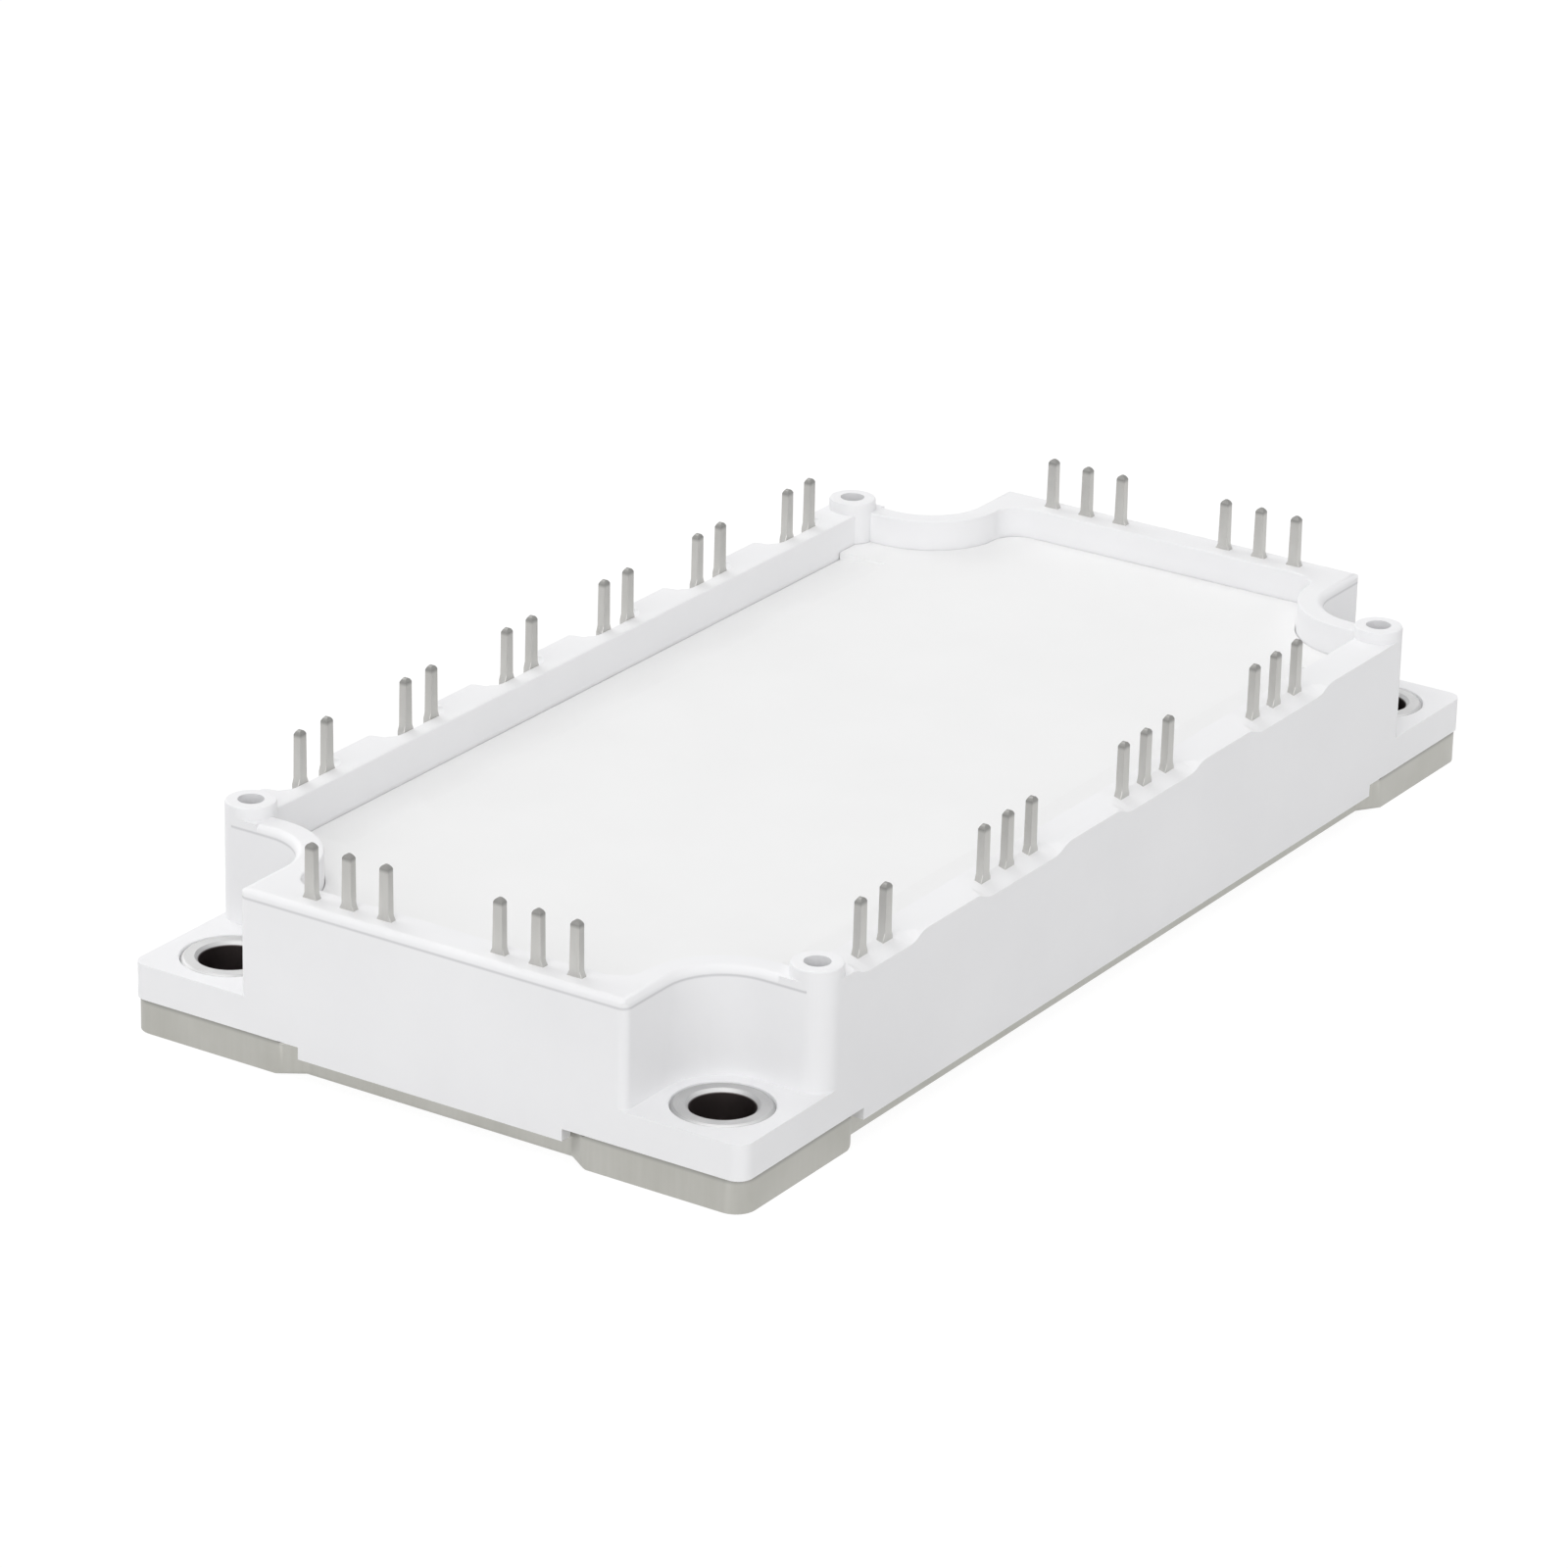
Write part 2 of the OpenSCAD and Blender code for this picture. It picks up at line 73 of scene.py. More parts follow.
print(f"loaded {len(frame['nodes'])} nodes, {size.x:.1f} x {size.y:.1f} x {size.z:.1f} mm")

# %% [markdown]
# ## The camera
#
# A short lens close by would spread the sides of a flat box, and an orthographic camera would
# make them quite parallel, like a drawing. Catalogue pictures of such parts lie in between: a
# long lens from far away. The camera looks down a little over 22 degrees, onto the corner
# beside the two sensor pins. `to_track_quat` points it at the target, and one more turn about
# its own axis sets the small roll.

# %% Camera
CAMERA_PLACE = Vector((-454.416, -287.539, 230.384)) * MM
CAMERA_TARGET = Vector((1.016, 5.988, 7.97)) * MM
CAMERA_ROLL = math.radians(1.41)
CAMERA_LENS = 150.15                     # millimetres
SENSOR_WIDTH = 36                        # millimetres
NEAREST = 10 * MM                        # the camera sees nothing closer than this

camera_data = bpy.data.cameras.new("camera")
camera_data.lens = CAMERA_LENS
camera_data.sensor_width = SENSOR_WIDTH
camera_data.clip_start = NEAREST
camera = bpy.data.objects.new("camera", camera_data)
bpy.context.scene.collection.objects.link(camera)
aim = (CAMERA_TARGET - CAMERA_PLACE).to_track_quat("-Z", "Y")
camera.rotation_mode = "QUATERNION"
camera.rotation_quaternion = aim @ Quaternion((0, 0, 1), CAMERA_ROLL)
camera.location = CAMERA_PLACE
bpy.context.scene.camera = camera
bpy.context.scene.view_settings.view_transform = "Standard"
print(f"camera {(CAMERA_TARGET - CAMERA_PLACE).length:.3f} m from its target")

# %% [markdown]
# ## Shader maths in Python
#
# Node trees are hard to read as code when every sum is three lines of wiring. `Signal` wraps
# one output socket and answers `+`, `-`, `*`, `<`, `>` and `abs()` by adding a Math node. It
# has the reflected forms too, so `1 - mask` works. A comparison gives 1 where it is true and
# 0 where it isn't, and that makes it a mask.

# %% Signal
class Signal:
    """One output socket, with operators that add Math nodes."""

    def __init__(self, finish, socket):
        self.finish = finish
        self.socket = socket

    def math(self, operation, *others):
        """A Math node that takes this value first."""
        values = dict(enumerate((self, *others)))
        return self.finish.add("Math", {"operation": operation}, values)

    def __add__(self, other):
        return self.math("ADD", other)

    def __sub__(self, other):
        return self.math("SUBTRACT", other)

    def __rsub__(self, other):
        return self.finish.add("Math", {"operation": "SUBTRACT"}, {0: other, 1: self})

    def __mul__(self, other):
        return self.math("MULTIPLY", other)

    def __lt__(self, other):
        return self.math("LESS_THAN", other)

    def __gt__(self, other):
        return self.math("GREATER_THAN", other)

    def __abs__(self):
        return self.math("ABSOLUTE")

    __radd__ = __add__
    __rmul__ = __mul__


print("signals answer + - * < > and abs()")

# %% [markdown]
# `Finish` owns a material, or the world, and its one method `add` makes any node: its type,
# then its settings, then the values or links of its sockets. Settings come first, because
# some of them change which sockets a node has.

# %% Finish
class Finish:
    """A material, or a world, and the one method that adds nodes to it."""

    def __init__(self, owner):
        owner.use_nodes = True
        self.owner = owner
        self.tree = owner.node_tree

    def add(self, kind, settings=None, sockets=None, output=0):
        """Adds a node and returns one of its outputs."""
        node = self.tree.nodes.new("ShaderNode" + kind)
        for name, value in (settings or {}).items():
            setattr(node, name, value)
        for name, value in (sockets or {}).items():
            self.feed(node.inputs[name], value)
        return Signal(self, node.outputs[output])

    def feed(self, socket, value):
        """Links a signal to a socket, or sets a plain value on it."""
        if isinstance(value, Signal):
            self.tree.links.new(value.socket, socket)
        elif socket.type == "RGBA":
            socket.default_value = (*value, 1)
        else:
            socket.default_value = value


def set_shader(finish, **sockets):
    """Feeds the Principled shader. The sockets' names are written with _ for each space."""
    shader = finish.tree.nodes["Principled BSDF"]
    for name, value in sockets.items():
        finish.feed(shader.inputs[name.replace("_", " ")], value)
    return finish.owner


print("finishes take nodes through one method")

# %% [markdown]
# Every pattern reads the object's own coordinates. Each piece here sits at the origin with its
# place in its mesh, so these coordinates are places on the module, in metres. Noise on them
# makes clouds and grain, and a stretched noise makes streaks. Colours never pass through a
# Math node, which would turn them grey: `mixed` blends them with a Mix node.

# %% Patterns
def object_place(finish):
    return finish.add("TexCoord", output="Object")


def axis_of(finish, axis):
    """The object's X, Y or Z coordinate, in metres."""
    return finish.add("SeparateXYZ", {}, {"Vector": object_place(finish)}, output=axis)


def grain(finish, scale, detail, stretch=(1, 1, 1)):
    """Noise between 0 and 1. Scale counts its features in a metre."""
    place = finish.add("Mapping", {}, {"Vector": object_place(finish), "Scale": stretch})
    return finish.add("TexNoise", {}, {"Vector": place, "Scale": scale, "Detail": detail})


def mixed(finish, amount, first, second):
    """The first colour where the amount is 0, and the second where it is 1."""
    colours = {0: amount, 6: first, 7: second}     # the numbers of a Mix node's colour sockets
    return finish.add("Mix", {"data_type": "RGBA"}, colours, output=2)


def fade(finish, value, start, end):
    """A smooth rise from 0 where the value is at the start, to 1 at the end."""
    sockets = {"Value": value, "From Min": start, "From Max": end}
    return finish.add("MapRange", {"interpolation_type": "SMOOTHSTEP"}, sockets)


def bump(finish, height, depth):
    """The normal of a relief of that depth in metres, from a height between 0 and 1."""
    sockets = {"Height": height, "Distance": depth, "Strength": 1.0}
    return finish.add("Bump", {}, sockets)


print("patterns to build with: grain, mixed, fade and bump")

# %% [markdown]
# ## White moulded plastic
#
# The frame and the lid are white glass-filled plastic, moulded in a spark-eroded tool. Such a
# tool leaves a fine matte grain a few thousandths of a millimetre deep, and the filler makes
# the white very slightly uneven. A picture of such a grain would have to be unwrapped round
# every corner. Noise needs no unwrapping: one wide and faint noise varies the colour, and a
# fine one gives the relief. A flat white would look like paper, so the roughness varies too.

# %% Plastic
CLOUDS_PER_METRE = 90                    # clouds about a centimetre wide
SKIN_PER_METRE = 5200                    # grain a fifth of a millimetre wide
SKIN_ROUGHNESS = 0.12                    # what the grain adds to the roughness


def moulded_plastic(name, dark, light, rough, depth, marks=None):
    """White plastic. Marks takes the finish and the colour, and returns the marked colour."""
    finish = Finish(bpy.data.materials.new(name))
    clouds = grain(finish, CLOUDS_PER_METRE, detail=3)
    skin = grain(finish, SKIN_PER_METRE, detail=3)
    colour = mixed(finish, clouds, dark, light)
    return set_shader(
        finish,
        Base_Color=marks(finish, colour) if marks else colour,
        Roughness=skin * SKIN_ROUGHNESS + rough,
        Normal=bump(finish, skin, depth),
        IOR=1.5,
    )


lid_plastic = moulded_plastic(
    "lid_plastic", dark=(0.855, 0.855, 0.855), light=(0.895, 0.895, 0.895),
    rough=0.42, depth=0.004 * MM)
print("plastic of the lid:", len(lid_plastic.node_tree.nodes), "nodes")

# %% [markdown]
# The two halves of the frame's mould meet just under the rounded top edge of the short walls,
# and leave a thin groove there, which also runs round the screw recesses. A cut groove would be
# finer than the facets of the walls, so its shade is painted: a thin line, a little darker than the
# wall.
# Masks on the coordinates say where it is: at one height, on the short walls and in the
# corners, but not on the long walls.

# %% Painted groove shade
TOUCH = 0.05 * MM                        # heights that lie closer than this count as one
POST_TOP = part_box("frame")[1].z
frame_heights = [vert.co.z for vert in frame["nodes"]["frame"].data.vertices]
RIM_TOP = max(height for height in frame_heights if height < POST_TOP - TOUCH)

bush_low, bush_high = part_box("bush_back_right")
HOLE_CENTRE = (bush_low + bush_high) / 2
RECESS_REACH = 5.55 * MM                 # from a screw's axis to just past its recess's wall
END_DEPTH = 0.9 * MM                     # takes in the rounded ends of the short walls
SIDE_DEPTH = 0.2 * MM                    # leaves out the long walls
LINE_HEIGHT = RIM_TOP - 0.78 * MM
LINE_HALF = 0.2 * MM
GROOVE_SHADE_COLOUR = (0.66, 0.66, 0.675)


# Painted shade of a groove: a thin line, darker than the wall, where no groove is cut.
def painted_groove_shade(finish, colour):
    x = abs(axis_of(finish, "X"))
    y = abs(axis_of(finish, "Y"))
    away = abs(axis_of(finish, "Z") - LINE_HEIGHT)
    on_end = x > cad_box[1].x - END_DEPTH
    in_corner = (x > HOLE_CENTRE.x - RECESS_REACH) * (y > HOLE_CENTRE.y - RECESS_REACH)
    on_wall = on_end.math("MAXIMUM", in_corner) * (y < cad_box[1].y - SIDE_DEPTH)
    line = fade(finish, away, LINE_HALF, 0) * on_wall
    return mixed(finish, line, colour, GROOVE_SHADE_COLOUR)


frame_plastic = moulded_plastic(
    "frame_plastic", dark=(0.845, 0.845, 0.858), light=(0.902, 0.902, 0.912),
    rough=0.46, depth=0.006 * MM, marks=painted_groove_shade)
print(f"plastic of the frame: a rim {RIM_TOP / MM:.2f} mm high, its line at {LINE_HEIGHT / MM:.2f}")

# %% [markdown]
# ## Stamped metal
#
# The base plate is stamped copper with a dull nickel coat, and the pins are stamped from
# tinned strip. The press draws fine upright streaks into the cut edges. Anisotropic gloss
# could stand for them, but it is lost when a model is exported, while colour, roughness and
# relief can be baked. So the streaks are a noise that varies all three. A scale well under 1
# along Z stretches it upwards.

# %% Stamped metal
PATCHES_PER_METRE = 160                  # patches of colour, six millimetres wide
STREAK_SHARE = 0.35                      # how much of the colour follows the streaks
STREAK_ROUGHNESS = 0.18                  # what the streaks add to the roughness
STREAK_DEPTH = 0.006 * MM
METAL_ROUGHNESS = 0.34


def stamped_metal(name, dark, light, streaks_per_metre, upright, marks):
    """Streaked metal. Upright scales the noise along Z: the smaller, the longer the streaks."""
    finish = Finish(bpy.data.materials.new(name))
    patches = grain(finish, PATCHES_PER_METRE, detail=4)
    streaks = grain(finish, streaks_per_metre, detail=3, stretch=(1, 1, upright))
    amount = patches * (1 - STREAK_SHARE) + streaks * STREAK_SHARE
    colour = mixed(finish, amount, dark, light)
    return set_shader(
        finish,
        Base_Color=marks(finish, colour),
        Metallic=1.0,
        Roughness=streaks * STREAK_ROUGHNESS + METAL_ROUGHNESS,
        Normal=bump(finish, streaks, STREAK_DEPTH),
    )


print(f"stamped metal: roughness {METAL_ROUGHNESS} to {METAL_ROUGHNESS + STREAK_ROUGHNESS:.2f}")

# %% [markdown]
# The plate and the pins each have a mark of their own. Along the top of the plate's edge, under
# the frame's overhang, a dark band is painted shade.

# %% Nickel plate
PLATE_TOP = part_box("base_plate")[1].z
PAD_SHADE_BAND = 0.45 * MM
PAD_SHADE_COVER = 0.6
PAD_SHADE_COLOUR = (0.2, 0.2, 0.19)


# Painted shade under the frame: the plate's colour darkens towards its top edge.
def painted_pad_shade(finish, colour):
    pad_shade = fade(finish, axis_of(finish, "Z"), PLATE_TOP - PAD_SHADE_BAND, PLATE_TOP)
    return mixed(finish, pad_shade * PAD_SHADE_COVER, colour, PAD_SHADE_COLOUR)


nickel_plate = stamped_metal(
    "nickel_plate", dark=(0.375, 0.37, 0.335), light=(0.54, 0.535, 0.51),
    streaks_per_metre=2600, upright=0.06, marks=painted_pad_shade)
print(f"nickel plate: glue from {(PLATE_TOP - PAD_SHADE_BAND) / MM:.2f} mm up")

# %% [markdown]
# A pin is brightest at its foot. Above the lid, painted shade darkens it towards the tip, and the
# tip itself is darker still.

# %% Tinned pins
PIN_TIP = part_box("pin_gate_1")[1].z
LID_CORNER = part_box("lid")[1]
PIN_SHADE_COVER = 0.35
PIN_SHADE_COLOUR = (0.3, 0.295, 0.285)
DARK_TIP_START = PIN_TIP - 0.75 * MM
DARK_TIP_FULL = PIN_TIP - 0.3 * MM
DARK_TIP_COVER = 0.62
DARK_TIP_COLOUR = (0.13, 0.13, 0.125)


# Painted shade from the lid up, and a darker tip.
def painted_shade_and_dark_tip(finish, colour):
    height = axis_of(finish, "Z")
    pin_shade = fade(finish, height, LID_CORNER.z, PIN_TIP) * PIN_SHADE_COVER
    dark_tip = fade(finish, height, DARK_TIP_START, DARK_TIP_FULL) * DARK_TIP_COVER
    return mixed(finish, dark_tip, mixed(finish, pin_shade, colour, PIN_SHADE_COLOUR), DARK_TIP_COLOUR)


tinned_pin = stamped_metal(
    "tinned_pin", dark=(0.47, 0.465, 0.445), light=(0.70, 0.695, 0.675),
    streaks_per_metre=4200, upright=0.12, marks=painted_shade_and_dark_tip)
print(f"tinned pins: dark from {DARK_TIP_START / MM:.2f} mm up")

# %% [markdown]
# ## Turned bushes
#
# The bushes are turned on a lathe, so their grooves are rings. A Wave texture makes rings as
# well, but only about one axis. Here the absolute values of X and Y fold the four corners onto
# one, and the distance from that corner's hole goes through a sine, so one finish fits all
# four bushes. Little light comes back out of a deep bore, so it darkens from its edge inwards.

# %% Turned metal
mounts = {mount["name"]: mount["dims"] for mount in frame["record"]["mounts"]}
HOLE_RADIUS = mounts["heat_sink_bolts"]["hole_r_mm"] * MM
BORE_EDGE = HOLE_RADIUS + 0.12 * MM      # on the chamfer
BORE_FADE = 0.1 * MM
BORE_COVER = 0.93
BORE_COLOUR = (0.03, 0.018, 0.018)
RING_PITCH = 0.11 * MM
RING_SHARE = 0.4                         # how much of the colour follows the rings
RING_DEPTH = 0.003 * MM
STAINS_PER_METRE = 700
STAIN_ROUGHNESS = 0.2


def turned_metal(name, dark, light, rough):
    finish = Finish(bpy.data.materials.new(name))
    dx = abs(axis_of(finish, "X")) - HOLE_CENTRE.x
    dy = abs(axis_of(finish, "Y")) - HOLE_CENTRE.y
    radius = (dx * dx + dy * dy).math("SQRT")
    rings = (radius * (2 * math.pi / RING_PITCH)).math("SINE") * 0.5 + 0.5
    stains = grain(finish, STAINS_PER_METRE, detail=3)
    colour = mixed(finish, stains * (1 - RING_SHARE) + rings * RING_SHARE, dark, light)
    bore = fade(finish, radius, BORE_EDGE, BORE_EDGE - BORE_FADE)
    return set_shader(
        finish,
        Base_Color=mixed(finish, bore * BORE_COVER, colour, BORE_COLOUR),
        Metallic=1.0,
        Roughness=stains * STAIN_ROUGHNESS + rough,
        Normal=bump(finish, rings, RING_DEPTH),
    )


bush_metal = turned_metal(
    "bush_metal", dark=(0.45, 0.45, 0.45), light=(0.60, 0.60, 0.60), rough=0.45)
print(f"bushes: {HOLE_CENTRE.x / MM:.1f} and {HOLE_CENTRE.y / MM:.1f} mm out, dark inside",
      f"{BORE_EDGE / MM:.2f} mm")

# %% [markdown]
# ## The circuit's finishes
#
# Nobody sees the circuit while the lid is on, but the module may also be shown taken apart.
# Each inner piece gets its own finish: etched copper, sintered ceramic, metallised silicon,
# aluminium wire, a dark glazed sensor and a clear soft gel. Clouds of one noise vary the
# colour and raise the surface, and the rest is set straight on the shader.

# %% Circuit finishes
def clouded_finish(name, dark, light, clouds_per_metre, depth, **sockets):
    """A colour that wanders between dark and light, over a relief of that depth."""
    finish = Finish(bpy.data.materials.new(name))
    clouds = grain(finish, clouds_per_metre, detail=4)
    return set_shader(finish, Base_Color=mixed(finish, clouds, dark, light),
                      Normal=bump(finish, clouds, depth), **sockets)


copper = clouded_finish("copper", (0.62, 0.29, 0.17), (0.82, 0.46, 0.30), 900, 0.003 * MM,
                        Metallic=1.0, Roughness=0.38)
ceramic = clouded_finish("ceramic", (0.84, 0.84, 0.80), (0.92, 0.92, 0.89), 2500, 0.002 * MM,
                         Roughness=0.5)
chip = clouded_finish("chip", (0.40, 0.41, 0.45), (0.54, 0.55, 0.58), 1800, 0.001 * MM,
                      Metallic=1.0, Roughness=0.3)
bond_wire = clouded_finish("bond_wire", (0.60, 0.60, 0.62), (0.76, 0.76, 0.78), 1500,
                           0.001 * MM, Metallic=1.0, Roughness=0.32)
sensor_body = clouded_finish("sensor_body", (0.03, 0.03, 0.035), (0.06, 0.06, 0.065), 1200,
                             0.002 * MM, Roughness=0.25)
silicone_gel = clouded_finish("silicone_gel", (0.80, 0.86, 0.90), (0.86, 0.90, 0.93), 60,
                              0.002 * MM, Roughness=0.08, Transmission_Weight=0.85, IOR=1.41)

FINISHES = {
    "nickel_plate": nickel_plate, "frame_plastic": frame_plastic, "lid_plastic": lid_plastic,
    "bush_metal": bush_metal, "tinned_pin": tinned_pin, "copper": copper, "ceramic": ceramic,
    "chip": chip, "bond_wire": bond_wire, "sensor_body": sensor_body,
    "silicone_gel": silicone_gel,
}
print("finishes:", ", ".join(FINISHES))

# %% [markdown]
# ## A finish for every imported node
#
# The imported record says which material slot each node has. Every node gets its finish from
# that list, so nothing is left plain, whichever nodes are replaced later.

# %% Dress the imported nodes
SLOTS = {part["node"]: part["material_slot"] for part in frame["record"]["subparts"]}


def dress(piece, slot):
    piece.data.materials.clear()
    piece.data.materials.append(FINISHES[slot])


for node, slot in SLOTS.items():
    dress(frame["nodes"][node], slot)
print("dressed", len(SLOTS), "nodes")

# %% [markdown]
# ## Rounded edges
#
# A real moulding or stamping has no knife edges: each one carries a small radius that catches
# the light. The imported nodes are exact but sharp. They needn't be modelled again, as a copy
# only has to have its edges rounded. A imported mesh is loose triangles, so the copy is welded
# first and its flat triangles are joined into whole faces. That leaves only true edges.

# %% Welding
SHARP = math.radians(28)                 # faces that meet at more than this make an edge
WELD = 0.002 * MM
FLAT = math.radians(0.5)


def welded(node):
    """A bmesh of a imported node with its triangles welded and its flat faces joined."""
    bm = bmesh.new()
    bm.from_mesh(frame["nodes"][node].data)
    bmesh.ops.remove_doubles(bm, verts=bm.verts[:], dist=WELD)
    bmesh.ops.dissolve_limit(bm, angle_limit=FLAT, verts=bm.verts[:], edges=bm.edges[:])
    return bm


def is_sharp(edge):
    return edge.calc_face_angle(0) > SHARP


print("an edge is sharp over", round(math.degrees(SHARP)), "degrees")

# %% [markdown]
# A Bevel modifier picks its edges by angle alone. `bmesh.ops.bevel` rounds the edges that it
# is given, so a rule can choose them. Where a neighbouring edge is shorter than the round, or
# meets it at a narrow angle, the round would fold over itself, and `has_room` leaves that edge
# sharp. The frame and the lid add rules of their own.

# %% Rounding
ROOM_LENGTH = 1.2                        # the shortest neighbour of a rounded edge, in radii
ROOM_ANGLE = math.radians(40)


def middle(edge):
    return (edge.verts[0].co + edge.verts[1].co) / 2


def has_room(edge, radius):
    for corner in edge.verts:
        along = edge.other_vert(corner).co - corner.co
        for other in corner.link_edges:
            if other is edge:
                continue
            if other.calc_length() < ROOM_LENGTH * radius:
                return False
            away = other.other_vert(corner).co - corner.co
            if is_sharp(other) and along.angle(away) < ROOM_ANGLE:
                return False
    return True


def round_edges(bm, radius, segments, rule=lambda edge: True):
    """Rounds the sharp edges that the rule picks, and returns how many there were."""
    edges = [edge for edge in bm.edges
             if is_sharp(edge) and has_room(edge, radius) and rule(edge)]
    bmesh.ops.bevel(bm, geom=edges, offset=radius, offset_type="OFFSET", segments=segments,
                    profile=0.5, affect="EDGES", clamp_overlap=False, loop_slide=True,
                    material=-1)
    return len(edges)


print("a rounded edge needs neighbours of", ROOM_LENGTH, "radii")

# %% [markdown]
# A finished piece shades smoothly up to its creases. Weighted normals keep the large faces
# flat while the narrow rounds stay smooth. The copy still carries the stored normals of the
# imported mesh, which no longer fit the rounded shape, so those are taken off first.

# %% Finished pieces
def finish_piece(bm, name, slot, node, crease=SHARP):
    """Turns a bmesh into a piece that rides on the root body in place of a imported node."""
    for face in bm.faces:
        face.smooth = True
    for edge in bm.edges:
        edge.smooth = edge.calc_face_angle(math.pi) <= crease
    mesh = bpy.data.meshes.new(name)
    bm.to_mesh(mesh)
    bm.free()
    stored_normals = mesh.attributes.get("custom_normal")
    if stored_normals:
        mesh.attributes.remove(stored_normals)
    piece = bpy.data.objects.new(name, mesh)
    bpy.context.scene.collection.objects.link(piece)
    weighting = piece.modifiers.new("weighted_normals", "WEIGHTED_NORMAL")
    weighting.keep_sharp = True
    dress(piece, slot)
    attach(piece, "root")
    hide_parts(node)
    return piece


# %% [markdown]
# ## The moulded frame
#
# This is the piece that people look at. Its rule picks the outward corners that show. It
# leaves out the sockets round the pins, whose edges are shorter than any radius, the curved
# rises of the scoops in the rim, which are soft already, and all that lies under the lid.

# %% Frame
PIN_NODES = sorted(node for node in SLOTS if node.startswith("pin_"))
PIN_BOXES = [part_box(node) for node in PIN_NODES]
SOCKET_MARGIN = 0.1 * MM
SCOOP_DEPTH = 1.8 * MM                   # a little more than the deepest scoop
LID_GAP = 0.4 * MM                       # from the lid's edge to just inside the wall round it
FRAME_ROUND = 0.22 * MM


def beside_a_pin(point):
    for low, high in PIN_BOXES:
        inside = all(low[i] - SOCKET_MARGIN <= point[i] <= high[i] + SOCKET_MARGIN
                     for i in range(3))
        if inside:
            return True
    return False


def on_show(edge):
    """True for an outward corner that can be seen once the lid is in."""
    point = middle(edge)
    if not edge.is_convex or point.z < PLATE_TOP + TOUCH or beside_a_pin(point):
        return False
    in_scoop = RIM_TOP - SCOOP_DEPTH < point.z < RIM_TOP - TOUCH
    in_cavity = (point.z < LID_CORNER.z - TOUCH and abs(point.x) < LID_CORNER.x + LID_GAP
                 and abs(point.y) < LID_CORNER.y + LID_GAP)
    near_bolt = (abs(point.x) > HOLE_CENTRE.x - RECESS_REACH
                 and abs(point.y) > HOLE_CENTRE.y - RECESS_REACH)
    return not in_scoop and (near_bolt or not in_cavity)


bm = welded("frame")
count = round_edges(bm, FRAME_ROUND, 2, on_show)
housing = finish_piece(bm, "housing_frame", "frame_plastic", "frame")
print("housing_frame:", count, "edges rounded,", len(housing.data.polygons), "faces")

# %% [markdown]
# ## The inner lid
#
# The lid is pressed in between the walls, so the gap round it hardly shows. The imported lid
# keeps a working clearance there, and its sides are first moved out by a part of that. Only
# its upper rim is rounded. A strip along each long side slopes down by about eight degrees,
# and the lid's crease angle is smaller than that, so that the fold stays crisp.

# %% Lid
LID_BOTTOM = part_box("lid")[0].z
LID_GROWTH = 0.1 * MM
LID_ROUND = 0.12 * MM
LID_CREASE = math.radians(3)


def is_lid_side(face):
    """True for an upright face that reaches down to the underside of the lid."""
    lowest = min(vert.co.z for vert in face.verts)
    return abs(face.normal.z) < 0.5 and lowest < LID_BOTTOM + TOUCH


def on_lid_rim(edge):
    on_top = middle(edge).z > LID_CORNER.z - MM
    return edge.is_convex and on_top and any(is_lid_side(face) for face in edge.link_faces)


def widen(bm, amount):
    """Moves the sides of the lid outwards."""
    shifts = []
    for vert in bm.verts:
        sides = [face.normal for face in vert.link_faces if is_lid_side(face)]
        if sides:
            outward = sum(sides, Vector()).normalized()
            shifts.append((vert, outward * (amount / outward.dot(sides[0]))))
    for vert, shift in shifts:
        vert.co += shift


bm = welded("lid")
widen(bm, LID_GROWTH)
count = round_edges(bm, LID_ROUND, 2, on_lid_rim)
inner_lid = finish_piece(bm, "inner_lid", "lid_plastic", "lid", crease=LID_CREASE)
print("inner_lid:", count, "edges rounded,", len(inner_lid.data.polygons), "faces")

# %% [markdown]
# ## The base plate
#
# A press rolls the edges of the sheet over as it cuts them, so the plate has the widest round
# of all, and every sharp edge takes it.

# %% Base plate
PLATE_ROUND = 0.35 * MM

bm = welded("base_plate")
count = round_edges(bm, PLATE_ROUND, 3)
plate = finish_piece(bm, "stamped_plate", "nickel_plate", "base_plate")
print("stamped_plate:", count, "edges rounded,", len(plate.data.polygons), "faces")

# %% [markdown]
# ## The solder pins
#
# Each pin is stamped from tinned strip: a rectangle in section with softened edges. The four
# bushes need no pieces of their own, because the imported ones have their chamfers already.

# %% Pins
PIN_ROUND = 0.07 * MM

for node in PIN_NODES:
    bm = welded(node)
    round_edges(bm, PIN_ROUND, 2)
    finish_piece(bm, node.replace("pin_", "") + "_pin", "tinned_pin", node)
print("pins:", len(PIN_NODES))

# %% [markdown]
# ## Floor and light
#
# The part stands on a plain pale floor. More light would make the floor white, but it would
# wash out the white frame as well. So the floor is matt and pale for the rays that light the
# part, and only those that reach the camera or a reflection see it glow. The soft shadow still
# shows in the glow. Under the part the glow is off, so that the screw holes stay dark.

# %% Floor
FLOOR_SIZE = 3.0
FLOOR_GAP = 0.02 * MM
UNDER_MARGIN = 3 * MM                    # keeps the dark patch well inside the plate's edges
FLOOR_COLOUR = (0.8, 0.8, 0.8)
SHADOW_COLOUR = (0.15, 0.15, 0.15)       # how strongly the shadow shows in the glow
GLOW = 0.9


def seen_rays(finish):
    """1 for the rays that show the background: camera, mirror and glass rays."""
    seen = finish.add("LightPath", output="Is Camera Ray")
    for kind in ("Is Glossy Ray", "Is Transmission Ray"):
        seen = seen.math("MAXIMUM", finish.add("LightPath", output=kind))
    return seen


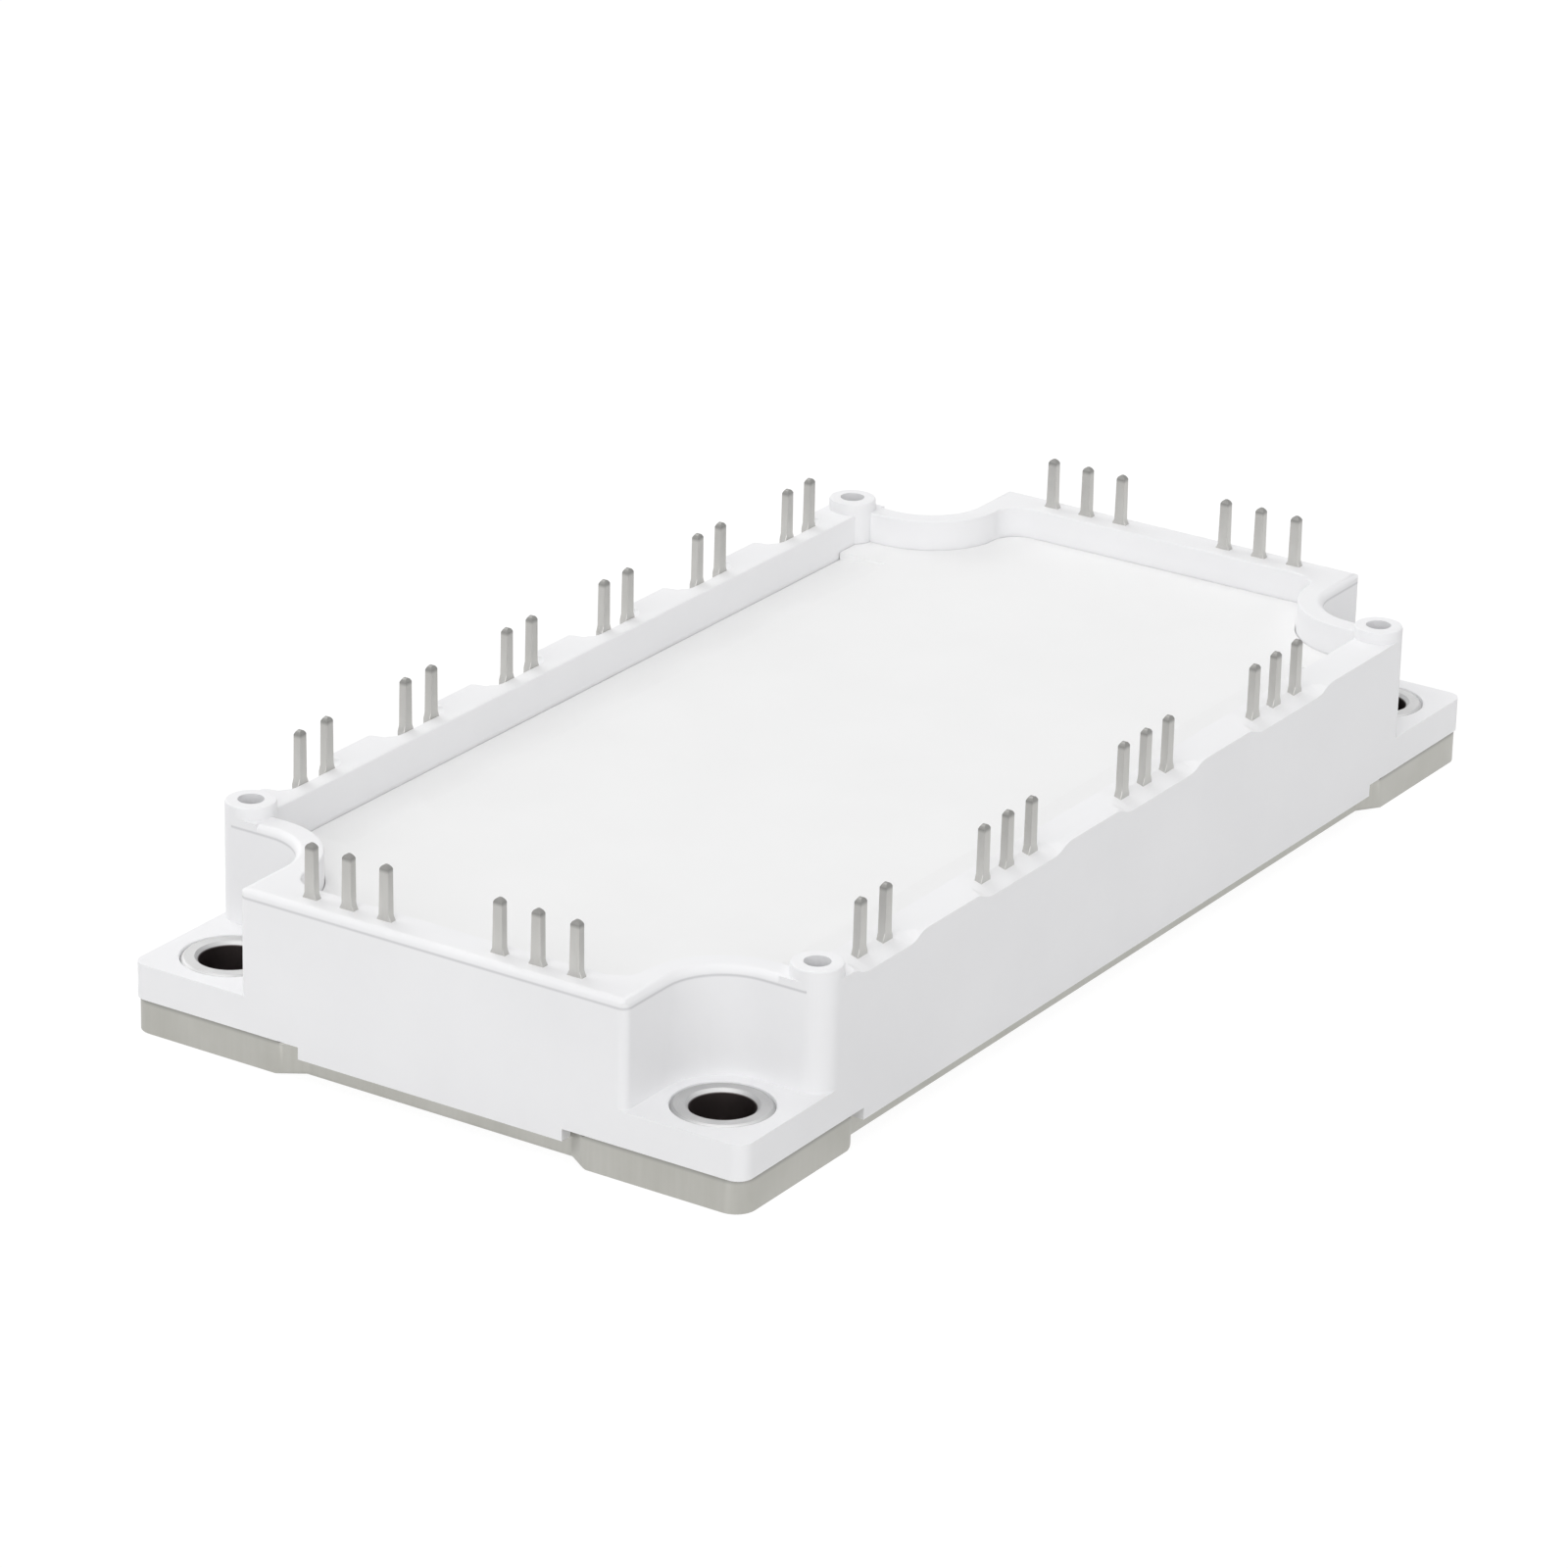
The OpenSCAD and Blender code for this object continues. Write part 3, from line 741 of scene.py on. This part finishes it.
def pale_floor():
    finish = Finish(bpy.data.materials.new("pale_floor"))
    finish.tree.nodes.remove(finish.tree.nodes["Principled BSDF"])
    under = ((abs(axis_of(finish, "X")) < cad_box[1].x - UNDER_MARGIN)
             * (abs(axis_of(finish, "Y")) < cad_box[1].y - UNDER_MARGIN))
    plain = finish.add("BsdfDiffuse", {}, {"Color": FLOOR_COLOUR})
    shade = finish.add("BsdfDiffuse", {}, {"Color": SHADOW_COLOUR})
    glow = finish.add("Emission", {}, {"Color": (1, 1, 1), "Strength": GLOW})
    bright = finish.add("AddShader", {}, {0: shade, 1: glow})
    surface = finish.add("MixShader", {}, {0: seen_rays(finish) * (1 - under), 1: plain, 2: bright})
    finish.feed(finish.tree.nodes["Material Output"].inputs["Surface"], surface)
    return finish.owner


bm = bmesh.new()
bmesh.ops.create_grid(bm, x_segments=1, y_segments=1, size=FLOOR_SIZE / 2)
bmesh.ops.translate(bm, verts=bm.verts[:], vec=(0, 0, -FLOOR_GAP))
floor_mesh = bpy.data.meshes.new("floor")
bm.to_mesh(floor_mesh)
bm.free()
floor_mesh.materials.append(pale_floor())
floor = bpy.data.objects.new("floor", floor_mesh)
bpy.context.scene.collection.objects.link(floor)
print("floor", FLOOR_SIZE, "m wide")

# %% [markdown]
# Soft light comes from a white surround and four wide suns, one overhead and three low ones
# over the sides. An area lamp is soft too, but it fades with distance. A sun with a wide angle
# doesn't, so the flat lid stays evenly white. A sun of strength pi lights a white face that it
# meets squarely to full white, and the suns' shares are shares of that.

# %% Light
SURROUND = 0.3                           # the surround's share of full white
SUNS = [                                 # name, direction of the light's source, share, angle
    ("overhead", (0.0, 0.0, 1.0), 0.315, 60),
    ("short_side", (-1.0, -0.15, 0.45), 0.35, 50),
    ("supply_side", (0.1, -1.0, 0.35), 0.19, 50),
    ("gate_side", (0.25, 1.0, 0.6), 0.31, 50),
]

world = bpy.data.worlds.new("surround")
bpy.context.scene.world = world
sky = Finish(world)
around = sky.add("Background", {}, {"Color": (1, 1, 1), "Strength": SURROUND})
white = sky.add("Background", {}, {"Color": (1, 1, 1), "Strength": 1.0})
both = sky.add("MixShader", {}, {0: seen_rays(sky), 1: around, 2: white})
sky.feed(sky.tree.nodes["World Output"].inputs["Surface"], both)

for name, direction, share, angle in SUNS:
    sun = bpy.data.lights.new(name, "SUN")
    sun.energy = share * math.pi
    sun.angle = math.radians(angle)
    lamp = bpy.data.objects.new(name, sun)
    lamp.rotation_mode = "QUATERNION"
    lamp.rotation_quaternion = Vector(direction).to_track_quat("Z", "Y")
    bpy.context.scene.collection.objects.link(lamp)
print("light:", ", ".join(name for name, *_ in SUNS))
